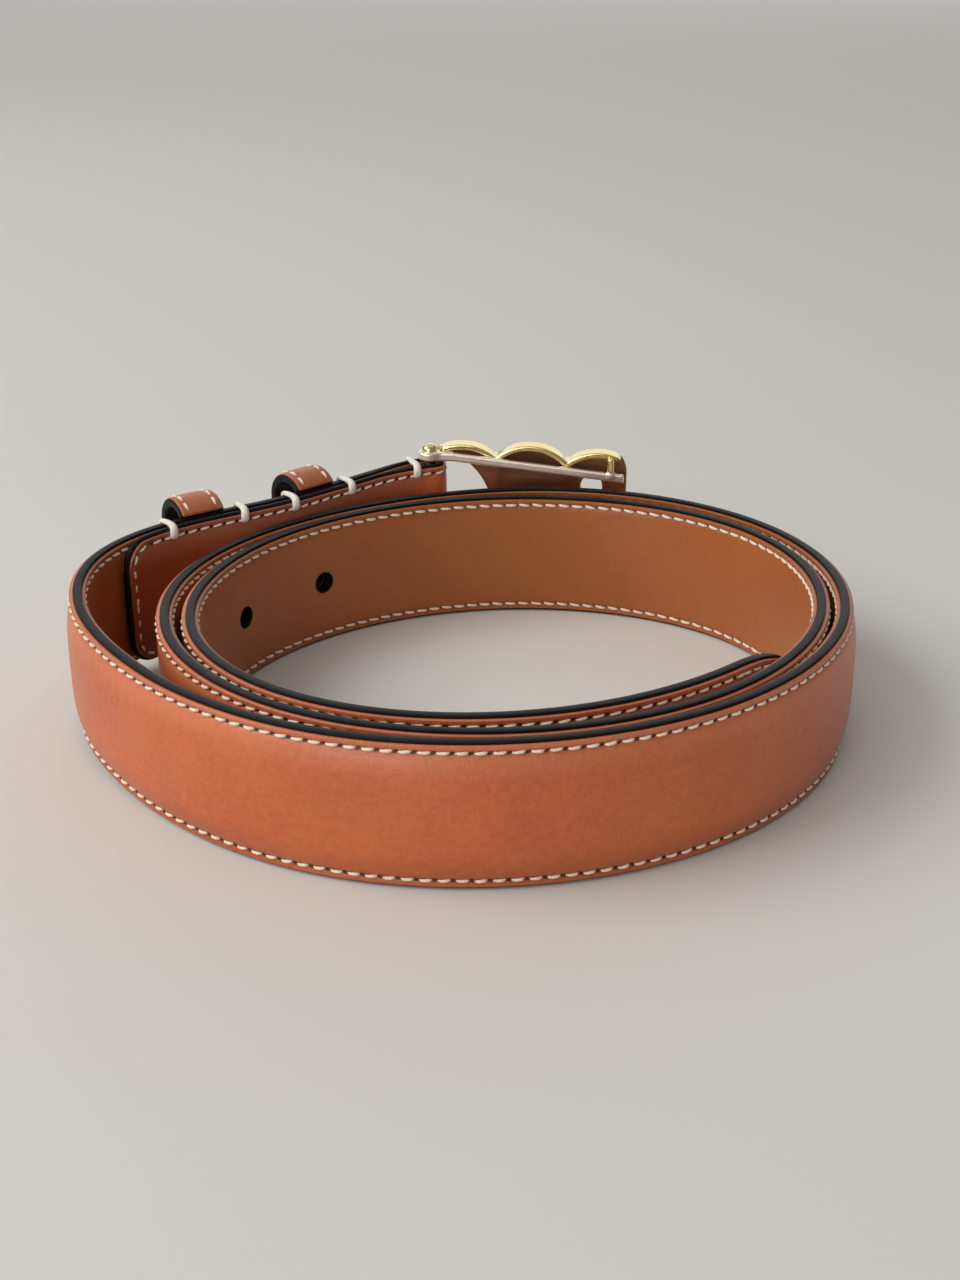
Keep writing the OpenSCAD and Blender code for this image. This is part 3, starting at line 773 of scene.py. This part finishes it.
def keeper(a, name):
    """A band of face leather on a painted core, sewn along both edges, at angle a."""
    o, x, y, z = strap_frame(a)
    path = keeper_path()
    dist = np.concatenate([[0], np.cumsum(np.hypot(*np.diff(path[:, :2], axis=0).T))])
    middle = [(o + y * py + z * pz, y * ny + z * nz) for py, pz, ny, nz in path]

    def solid(part, section, node, mat):
        verts, uv = [], []
        for (centre, n), s in zip(middle, dist):
            for wi, hi in zip(*section):
                verts.append(centre + x * wi + n * hi)
                uv.append([s + 40 * a, wi])
        faces = outward_faces(verts, loft_faces(len(path), len(section[0])))
        new_mesh(f"{name}_keeper_{part}", pressed_on_floor(verts), faces, "strap", (mat,),
                 (f"{name}_keeper_{node}",), np.array(uv) / UV_MM)

    leather_section, core_section = keeper_sections()
    solid("face", leather_section, "leather", KEEPER)
    solid("core", core_section, "lining", PAINT)

    spots = []
    high = (KEEPER_FACE_T + KEEPER_LINING_T) / 2 - 0.02
    for side in (-1, 1):
        aside = x * side * (KEEPER_W / 2 - KEEPER_SEAM_INSET)
        pts = np.array([centre + n * high + aside for centre, n in middle])
        p, t, m = walk(pts, np.array([n for _, n in middle]), KEEPER_PITCH, 0.75)
        spots += [(p[i], t[i], m[i], 0.08) for i in range(len(p))]
    verts, faces = place(stitch_shape(2.5, 0.68, 0.6, 0.18), spots)
    new_mesh(f"{name}_keeper_stitches", pressed_on_floor(verts), faces, "strap",
             (SEAM_THREAD,), (f"{name}_keeper_thread",))


keeper(NEAR_KEEPER_A, "near")
keeper(FAR_KEEPER_A, "far")


# ---------------------------------------------------------------- hand tacks
def tube(points, start_r, end_r, around=18, strands=3, twist=0.55):
    """A closed twisted thread along points, from one radius to another, tapering at both ends."""
    pts = np.array(points)
    tan = np.gradient(pts, axis=0)
    tan /= np.linalg.norm(tan, axis=1, keepdims=True)
    ref = np.cross(tan[len(tan) // 2], tan[0])
    ref /= np.linalg.norm(ref)
    d = np.concatenate([[0], np.cumsum(np.linalg.norm(np.diff(pts, axis=0), axis=1))])
    verts = []
    for i, p in enumerate(pts):
        b = ref - tan[i] * np.dot(ref, tan[i])
        b /= np.linalg.norm(b)
        n = np.cross(tan[i], b)
        run = d[i] / d[-1]
        taper = min(1, 0.45 + min(d[i], d[-1] - d[i]) / 1.3)
        radius = start_r + (end_r - start_r) * float(smooth(run * 1.4 - 0.2))
        for k in range(around):
            th = 2 * math.pi * k / around
            r = radius * taper * (1 + 0.07 * math.cos(strands * th + twist * strands * d[i]))
            verts.append(p + b * r * 1.12 * math.cos(th) + n * r * 0.9 * math.sin(th))
    return verts, loft_faces(len(pts), around)


def rounded(points, n=9, r=0.46):
    """A polyline with its corners cut by smooth arcs."""
    pts = [np.array(p, float) for p in points]
    out = [pts[0]]
    for a, b, c in zip(pts, pts[1:], pts[2:]):
        for q in np.linspace(0, 1, n):
            lo, hi = b + (a - b) * r, b + (c - b) * r
            out.append((1 - q) ** 2 * lo + 2 * q * (1 - q) * b + q * q * hi)
    return out + [pts[-1]]


TACK_IN_R, TACK_OUT_R, TACK_IN_LEG, TACK_OUT_LEG = 0.86, 0.6, 2.3, 1.7
TACK_PROUD, TACK_LEAN = 0.22, 0.55


def tack_path(a):
    """A tack's thread, over the strap's edge at a: from inside, over the top and down outside."""
    inn = -float(parting(a)) - PLY_T
    out = float(parting(a)) + PLY_T + float(filler_at(a))
    top, in_z, out_z = HALF_W + 0.5, HALF_W - TACK_IN_LEG, HALF_W - TACK_OUT_LEG
    return rounded([(-TACK_LEAN, inn + 0.75, in_z),
                    (-TACK_LEAN, inn - TACK_PROUD, in_z + 0.5),
                    (-TACK_LEAN * 0.7, inn - TACK_PROUD, top - 0.6),
                    (-0.2, inn + 0.8, top),
                    (0.2, out - 0.8, top - 0.1),
                    (TACK_LEAN * 0.7, out + TACK_PROUD, top - 0.7),
                    (TACK_LEAN, out + TACK_PROUD, out_z + 0.5),
                    (TACK_LEAN, out - 0.6, out_z)])


tack_step_a = (KEEPER_W / 2 + 3) / float(mm_per_deg(FAR_KEEPER_A))
tack_angles = [PIN_A + 3.3, FAR_KEEPER_A - tack_step_a, FAR_KEEPER_A + tack_step_a,
               NEAR_KEEPER_A - tack_step_a, NEAR_KEEPER_A + tack_step_a]
for side, label in ((1, "upper"), (-1, "lower")):
    verts, faces = [], []
    for a in tack_angles:
        o, x, y, z = strap_frame(a)
        pts = [o + x * p[0] + y * p[1] + z * side * p[2] for p in tack_path(a)]
        v, f = tube(pts, TACK_IN_R, TACK_OUT_R)
        f = outward_faces(v, f)
        faces += [[k + len(verts) for k in q] for q in f]
        verts += list(v)
    new_mesh(f"hand_tacks_{label}", verts, faces, "strap", (TACK_THREAD,),
             (f"{label}_hand_tacks",))


# ---------------------------------------------------------------- buckle, as rounded solids
# Each solid is a function that is negative inside it. k is the width of a rounded join.
PILLOW_H, PILLOW_W, MOUTH_DEEP, CAP_R = 0.35, 6.5, 5, 2.0


def smax(a, b, k):
    h = np.clip(k - np.abs(a - b), 0, None) / k
    return np.maximum(a, b) + h * h * k / 4


def smin(a, b, k):
    return -smax(-a, -b, k)


def rounded_box(p, lo, hi, r):
    lo, hi = np.array(lo, float), np.array(hi, float)
    q = np.abs(p - (lo + hi) / 2) - (hi - lo) / 2 + r
    return np.linalg.norm(np.clip(q, 0, None), axis=-1) + np.minimum(q.max(-1), 0) - r


def slab_round(flat, y, y0, y1, r):
    """A flat shape given as its distance, from y0 to y1, with its edges rounded by r."""
    w = np.stack([flat + r, np.abs(y - (y0 + y1) / 2) - (y1 - y0) / 2 + r], -1)
    return np.linalg.norm(np.clip(w, 0, None), axis=-1) + np.minimum(w.max(-1), 0) - r


def outline(x, z):
    """The plate's lobed outline seen from the front."""
    lobes = None
    for i in range(3):
        peak = LOBE_H - (LAST_LOBE_DROP if i == 2 else 0)
        straight = peak - LOBE_R
        d = np.hypot(x - FIRST_LOBE_X - i * LOBE_PITCH, z - np.clip(z, -straight, straight))
        d = d - LOBE_R
        lobes = d if lobes is None else smin(lobes, d, 0.7)
    p = np.stack([x, z], -1)
    ends = rounded_box(p, (LEFT_X, -0.3 - LOBE_H), (RIGHT_X, LOBE_H + 0.3), END_R)
    return smax(lobes, ends, 0.8)


def shell(p):
    """The plate: a hollow back, the window by the hinge, the slot and the tail's mouth."""
    x, y, z = p[..., 0], p[..., 1], p[..., 2]
    flat = outline(x, z)
    back = FRONT_Y - RIM_D
    pillow = PILLOW_H * smooth(1 + flat / PILLOW_W)
    outer = slab_round(flat, y + pillow, back - 3, FRONT_Y, 1.1)
    outer = smax(outer, back - y, 0.5)
    hollow = slab_round(flat + SHELL_T, y + pillow, back - 6, FRONT_Y - SHELL_T, 1.0)
    d = smax(outer, -hollow, 0.45)
    window = np.maximum(np.hypot(x - WINDOW_X + WINDOW_R, z) - WINDOW_R, np.abs(z) - WINDOW_HALF_H)
    d = smax(d, -window, 0.6)
    straight = SLOT_HALF_H - SLOT_W / 2
    slot = np.hypot(x - SLOT_X - SLOT_W / 2, z - np.clip(z, -straight, straight))
    d = smax(d, SLOT_W / 2 - slot, 0.6)
    mouth = np.stack([np.abs(x - RIGHT_X) - MOUTH_DEEP, np.abs(z) - WINDOW_HALF_H,
                      y - (FRONT_Y - SHELL_T)], -1).max(-1)
    d = smax(d, -mouth, 0.4)
    return smax(d, EYE_R + 0.12 - np.hypot(x, y), 0.3)


def rail(sign):
    """A bar across the plate's back with an eye for the pin and a post to the rim."""
    def f(p):
        x, y, z = p[..., 0], p[..., 1], p[..., 2] * sign
        y1 = FRONT_Y - RIM_D - RAIL_GAP
        slope = RAIL_DROP * np.clip((x - RAIL_KNEE_X) / (RAIL_END_X - RAIL_KNEE_X), 0, 1)
        bar = rounded_box(np.stack([x, y, z + slope], -1), (-1, y1 - RAIL_T, RAIL_LOW),
                          (RAIL_END_X, y1, RAIL_HIGH), 0.5)
        post = rounded_box(np.stack([x, y, z], -1),
                           (POST_X, y1 - RAIL_T, RAIL_LOW - RAIL_DROP + 0.9),
                           (POST_X + POST_W, y1, POST_TOP), 0.5)
        bar = smin(bar, post, 0.6)
        eye = slab_round(np.hypot(x, y) - EYE_R, z, RAIL_LOW, RAIL_HIGH, 0.5)
        return smax(smin(bar, eye, 0.8), PIN_R + 0.03 - np.hypot(x, y), 0.2)
    return f


def peg(p):
    """The headed peg that enters one of the strap's holes."""
    x, y, z = p[..., 0] - PEG_X, p[..., 1], p[..., 2]
    r = np.hypot(x, z)
    back, plate = FRONT_Y - RIM_D, FRONT_Y - SHELL_T
    shank = slab_round(r - PEG_R, y, back - 0.5, plate + 0.3, 0.2)
    head = slab_round(r - PEG_HEAD_R, y, back - PEG_HEAD_T, back, 0.55)
    return smin(shank, head, 0.5)


def pin(p):
    around = np.hypot(p[..., 0], p[..., 1])
    return slab_round(around - PIN_R, p[..., 2], -RAIL_HIGH, RAIL_HIGH, 0.1)


def cap(sign):
    def f(p):
        z = p[..., 2] * sign - RAIL_HIGH
        ball = np.hypot(np.hypot(p[..., 0], p[..., 1]), z) - CAP_R
        return smax(ball, -z, 0.35)
    return f


def surface_net(f, lo, hi, step):
    """A quad mesh of f = 0 whose vertices are then moved onto the surface itself."""
    lo, hi = np.array(lo, float), np.array(hi, float)
    n = np.ceil((hi - lo) / step).astype(int) + 1
    axes = [lo[k] + step * np.arange(n[k]) for k in range(3)]
    grid = np.stack(np.meshgrid(*axes, indexing="ij"), -1)
    val = f(grid)
    cell = tuple(n - 1)
    total, count = np.zeros(cell + (3,)), np.zeros(cell)
    corner = [(i, j, k) for i in (0, 1) for j in (0, 1) for k in (0, 1)]

    def part(arr, c):
        return arr[c[0]:c[0] + cell[0], c[1]:c[1] + cell[1], c[2]:c[2] + cell[2]]
    for a in corner:
        for ax in range(3):
            if a[ax]:
                continue
            b = tuple(1 if k == ax else a[k] for k in range(3))
            va, vb = part(val, a), part(val, b)
            cross = (va < 0) != (vb < 0)
            t = np.where(cross, va / np.where(cross, va - vb, 1), 0)[..., None]
            total += np.where(cross[..., None], part(grid, a) * (1 - t) + part(grid, b) * t, 0)
            count += cross
    used = count > 0
    index = np.full(cell, -1)
    index[used] = np.arange(used.sum())
    verts = total[used] / count[used][:, None]
    quads = []
    for ax in range(3):
        u, w = (ax + 1) % 3, (ax + 2) % 3
        here = [slice(None)] * 3
        here[ax] = slice(0, n[ax] - 1)
        there = list(here)
        there[ax] = slice(1, n[ax])
        va, vb = val[tuple(here)], val[tuple(there)]
        at = np.argwhere((va < 0) != (vb < 0))
        at = at[(at[:, u] > 0) & (at[:, w] > 0) & (at[:, u] < n[u] - 1) & (at[:, w] < n[w] - 1)]
        flip = va[tuple(at.T)] < 0
        ring = []
        for du, dw in ((1, 1), (0, 1), (0, 0), (1, 0)):
            c = at.copy()
            c[:, u] -= du
            c[:, w] -= dw
            ring.append(index[tuple(c.T)])
        q = np.stack(ring, 1)
        q[~flip] = q[~flip][:, ::-1]
        quads.append(q)
    eps = 0.02
    for _ in range(4):
        d = f(verts)
        g = np.stack([f(verts + eps * e) - f(verts - eps * e) for e in np.eye(3)], -1) / (2 * eps)
        move = -(d / np.clip((g**2).sum(-1), 0.2, None))[:, None] * g
        verts = verts + np.clip(move, -0.4 * step, 0.4 * step)
    g = np.stack([f(verts + eps * e) - f(verts - eps * e) for e in np.eye(3)], -1)
    return verts, np.concatenate(quads), g / np.linalg.norm(g, axis=-1, keepdims=True)


dir_a = math.radians(BUCKLE_DIR)
BUCKLE_AXES = np.array([[math.cos(dir_a), math.sin(dir_a), 0],
                        [-math.sin(dir_a), math.cos(dir_a), 0], [0, 0, 1]])
BUCKLE_ORIGIN = np.array([*ply_pt(PIN_A), HALF_W + float(lift(PIN_A))])


def metal(name, f, lo, hi, step, node, mat):
    verts, quads, normals = surface_net(f, lo, hi, step)
    o = new_mesh(name, verts @ BUCKLE_AXES + BUCKLE_ORIGIN, quads, "buckle", (mat,),
                 (node,) if node else ())
    if len(o.data.vertices) == len(normals):
        o.data.normals_split_custom_set_from_vertices((normals @ BUCKLE_AXES).tolist())
    return o


def repaint(o, mat, chosen):
    """Give mat to the faces for which chosen(centre, normal) holds, in the buckle's own axes."""
    o.data.materials.append(mat)
    for f in o.data.polygons:
        centre = BUCKLE_AXES @ (np.array(f.center) / MM - BUCKLE_ORIGIN)
        if chosen(centre, BUCKLE_AXES @ np.array(f.normal)):
            f.material_index = 1


def hollow_floor(centre, normal):
    return normal[1] < -0.6 and centre[1] > FRONT_Y - SHELL_T - 1.2


def rail_post(centre, _):
    return centre[0] > POST_X - 0.6 and abs(centre[2]) > RAIL_HIGH - RAIL_DROP + 0.4


plate = metal("buckle_plate", shell, (-3.5, -1.5, -21), (51, 6, 21), 0.33,
              "buckle_shell", GOLD)
# The hollow's floor gets the dark gold: painted shade and painted dark reflection.
repaint(plate, HOLLOW_SHADE_GOLD, hollow_floor)
# The upper rail stands for the CAD node of both; their posts share the rim's colour.
for side, label, node in ((1, "upper", "buckle_rails"), (-1, "lower", None)):
    low, high = sorted((10.2 * side, 18.6 * side))
    bar = metal(f"buckle_rail_{label}", rail(side), (-4, -4, low), (49.5, 4, high), 0.25,
                node, ROSE)
    repaint(bar, GOLD, rail_post)
metal("heel_pin_bar", pin, (-2, -2, -18.2), (2, 2, 18.2), 0.25, "heel_pin", GOLD)
metal("pin_cap_upper", cap(1), (-2.6, -2.6, 17), (2.6, 2.6, 20.2), 0.16,
      "upper_pin_cap", GOLD)
metal("pin_cap_lower", cap(-1), (-2.6, -2.6, -20.2), (2.6, 2.6, -17), 0.16,
      "lower_pin_cap", GOLD)
metal("hook_peg_turned", peg, (23, -3, -4), (31, 5, 4), 0.2, "hook_peg", ROSE)


# ---------------------------------------------------------------- floor, lights and camera
FLOOR_HALF = 6.0


def floor():
    n = Nodes("floor_pale")
    n.shader.inputs["Base Color"].default_value = rgb(0.70, 0.685, 0.655)
    n.shader.inputs["Roughness"].default_value = 0.9
    n.shader.inputs["Specular IOR Level"].default_value = 0.0
    me = bpy.data.meshes.new("floor")
    w = FLOOR_HALF
    me.from_pydata([(-w, -w, 0), (w, -w, 0), (w, w, 0), (-w, w, 0)], [], [(0, 1, 2, 3)])
    me.materials.append(n.mat)
    o = bpy.data.objects.new("floor", me)
    bpy.context.scene.collection.objects.link(o)


def softbox(name, at, aim, width, height, watts, colour):
    light = bpy.data.lights.new(name, "AREA")
    light.shape, light.size, light.size_y = "RECTANGLE", width, height
    light.energy, light.color = watts, colour
    o = bpy.data.objects.new(name, light)
    o.location = at
    o.rotation_euler = (Vector(aim) - Vector(at)).to_track_quat("-Z", "Y").to_euler()
    bpy.context.scene.collection.objects.link(o)


floor()
softbox("overhead", (0, 2.2, 2.6), (0, 2.2, 0), 4.0, 6.0, 25, (1.0, 0.995, 0.98))
softbox("key", (-1.3, -0.2, 1.15), (0, 0, 0.02), 1.4, 1.0, 18.5, (1.0, 0.985, 0.96))
softbox("front", (-0.6, -1.3, 0.9), (0, 0, 0.02), 1.2, 0.6, 6.0, (1.0, 0.985, 0.96))
softbox("low", (-0.75, -1.5, 0.20), (0, 0, 0.02), 0.8, 0.3, 4.0, (1.0, 0.985, 0.96))
softbox("back", (0, 3.4, 1.2), (0, 1.6, 0), 5.0, 2.2, 27, (0.96, 0.98, 1.0))
world = bpy.data.worlds.new("studio")
world.use_nodes = True
world.node_tree.nodes["Background"].inputs[0].default_value = (1.0, 0.98, 0.94, 1)
world.node_tree.nodes["Background"].inputs[1].default_value = 0.20
bpy.context.scene.world = world
bpy.context.scene.view_settings.view_transform = "Standard"

CAMERA_AT = (3.85, -343.66, 167.8)
CAMERA_PITCH = 23.754
cam = bpy.data.cameras.new("camera")
cam.lens, cam.sensor_width, cam.clip_start = 48.42, 36.0, 0.01
camera = bpy.data.objects.new("camera", cam)
camera.location = [c * MM for c in CAMERA_AT]
camera.rotation_euler = (math.radians(90 - CAMERA_PITCH), 0, 0)
bpy.context.scene.collection.objects.link(camera)
bpy.context.scene.camera = camera

bpy.context.view_layer.update()
